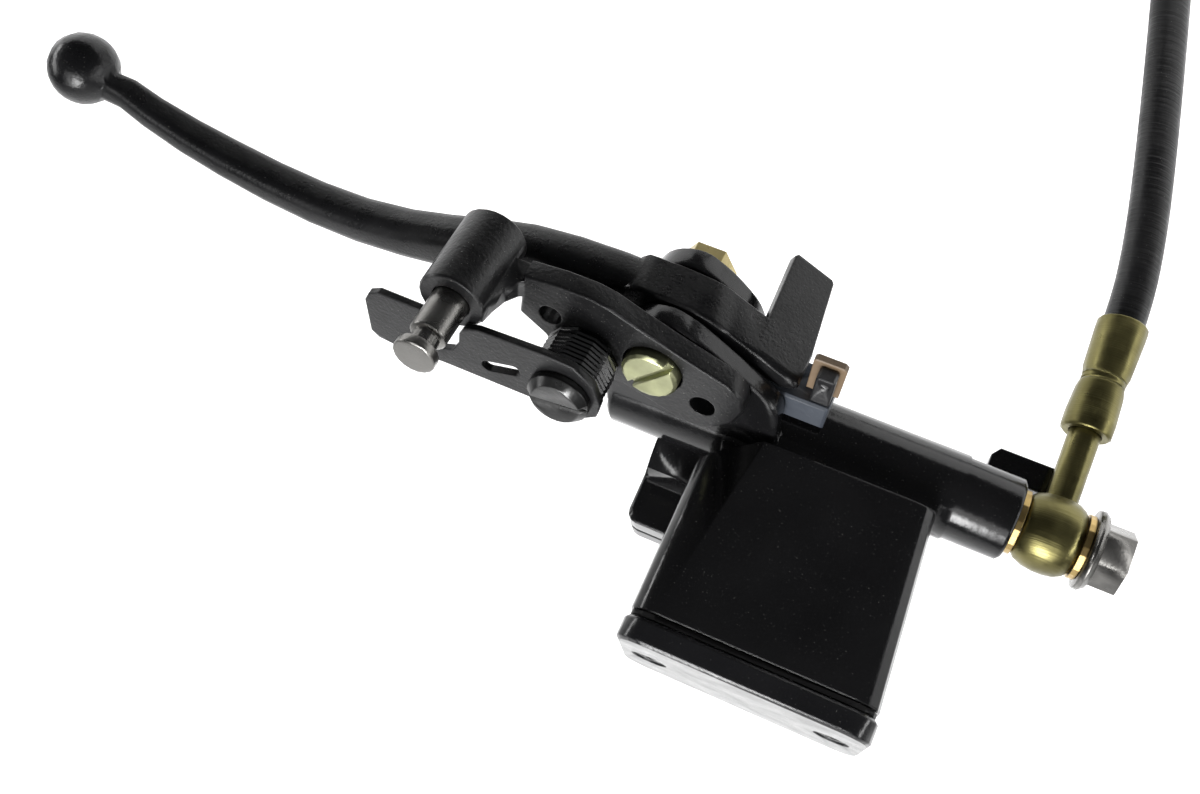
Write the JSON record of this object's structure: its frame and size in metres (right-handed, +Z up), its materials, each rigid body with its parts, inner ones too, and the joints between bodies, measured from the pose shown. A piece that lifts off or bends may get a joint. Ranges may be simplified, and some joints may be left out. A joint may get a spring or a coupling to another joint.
{
  "type": "brake master cylinder",
  "caption": "Black motorcycle brake master cylinder with square reservoir, ball-end lever, parking lock, brake light switch, banjo bolt and brake hose.",
  "frame": {"origin": "centre of the handlebar clamp bore", "axes": "+X along the handlebar and the cylinder, towards the banjo bolt; +Y away from the rider, towards the lever; +Z up, towards the reservoir lid"},
  "size_m": [0.2894, 0.164, 0.2811],
  "materials": {
    "black_gloss": "gloss",
    "black_satin": "satin",
    "rubber": "matte",
    "hose_rubber": "matte",
    "black_plastic": "matte",
    "grey_plastic": "matte",
    "tan_plastic": "matte",
    "dark_steel": "satin",
    "steel": "satin",
    "spring_steel": "satin",
    "bare_aluminium": "satin",
    "yellow_zinc": "satin",
    "green_zinc": "satin",
    "olive_zinc": "satin",
    "brass_washer": "satin"
  },
  "bodies": {
    "housing": {"body": "black_gloss", "reservoir_cover": "black_gloss", "diaphragm": "rubber", "diaphragm_plate": "black_plastic", "cover_screw_1": "dark_steel", "cover_screw_2": "dark_steel", "clamp_cap": "black_gloss", "clamp_bolt_1": "yellow_zinc", "clamp_bolt_2": "yellow_zinc", "pivot_screw": "green_zinc", "pivot_nut": "yellow_zinc", "lock_bracket": "black_satin", "lock_plunger_spring": "spring_steel", "latch_spring": "spring_steel", "latch_screw": "dark_steel", "piston_return_spring": "spring_steel", "circlip": "dark_steel", "dust_boot": "rubber", "banjo_washer_1": "brass_washer", "banjo_washer_2": "brass_washer", "banjo_fitting": "olive_zinc", "banjo_bolt": "steel", "brake_hose": "hose_rubber", "hose_coil": "hose_rubber", "brake_hose_tail": "hose_rubber", "hose_ferrule": "olive_zinc", "hose_ferrule_2": "olive_zinc", "banjo_fitting_2": "olive_zinc", "coil_tie": "black_plastic", "switch_housing": "grey_plastic", "switch_base": "tan_plastic", "switch_connector": "black_plastic", "switch_screw": "steel"},
    "lever": {"brake_lever": "black_satin", "pivot_bush": "steel"},
    "piston_group": {"piston": "bare_aluminium", "secondary_cup": "rubber", "primary_cup": "rubber"},
    "plunger": {"lock_plunger": "steel"},
    "latch": {"latch_plate": "black_satin"},
    "switch_pin": {"switch_plunger": "bare_aluminium"}
  },
  "joints": [
    {"name": "lever_pivot", "type": "hinge", "parent": "housing", "child": "lever", "pos_m": [-0.013, 0.05603, -0.01473], "axis": [0, 0.309, 0.9511], "range_deg": [0, 16], "stiffness_Nm_per_rad": 2, "springref_deg": -8.59},
    {"name": "piston_slide", "type": "slide", "parent": "housing", "child": "piston_group", "axis": [1, 0, 0], "range_m": [0, 0.0081], "deforming": ["piston_return_spring"]},
    {"name": "switch_plunger_slide", "type": "slide", "parent": "housing", "child": "switch_pin", "axis": [0, 0.9511, -0.309], "range_m": [0, 0.002]},
    {"name": "lock_plunger_slide", "type": "slide", "parent": "housing", "child": "plunger", "axis": [0, -0.309, -0.9511], "range_m": [0, 0.0065], "stiffness_N_per_m": 300, "springref_m": -0.01, "deforming": ["lock_plunger_spring"]},
    {"name": "latch_pivot", "type": "hinge", "parent": "housing", "child": "latch", "pos_m": [-0.0295, 0.0627, 0.01485], "axis": [0, 0.309, 0.9511], "range_deg": [-6, 8], "stiffness_Nm_per_rad": 0.05}
  ],
  "couplings": [
    {"joint": "piston_slide", "follows": "lever_pivot", "m_per_rad": 0.0284},
    {"joint": "switch_plunger_slide", "follows": "lever_pivot", "m_per_rad": 0.007}
  ]
}
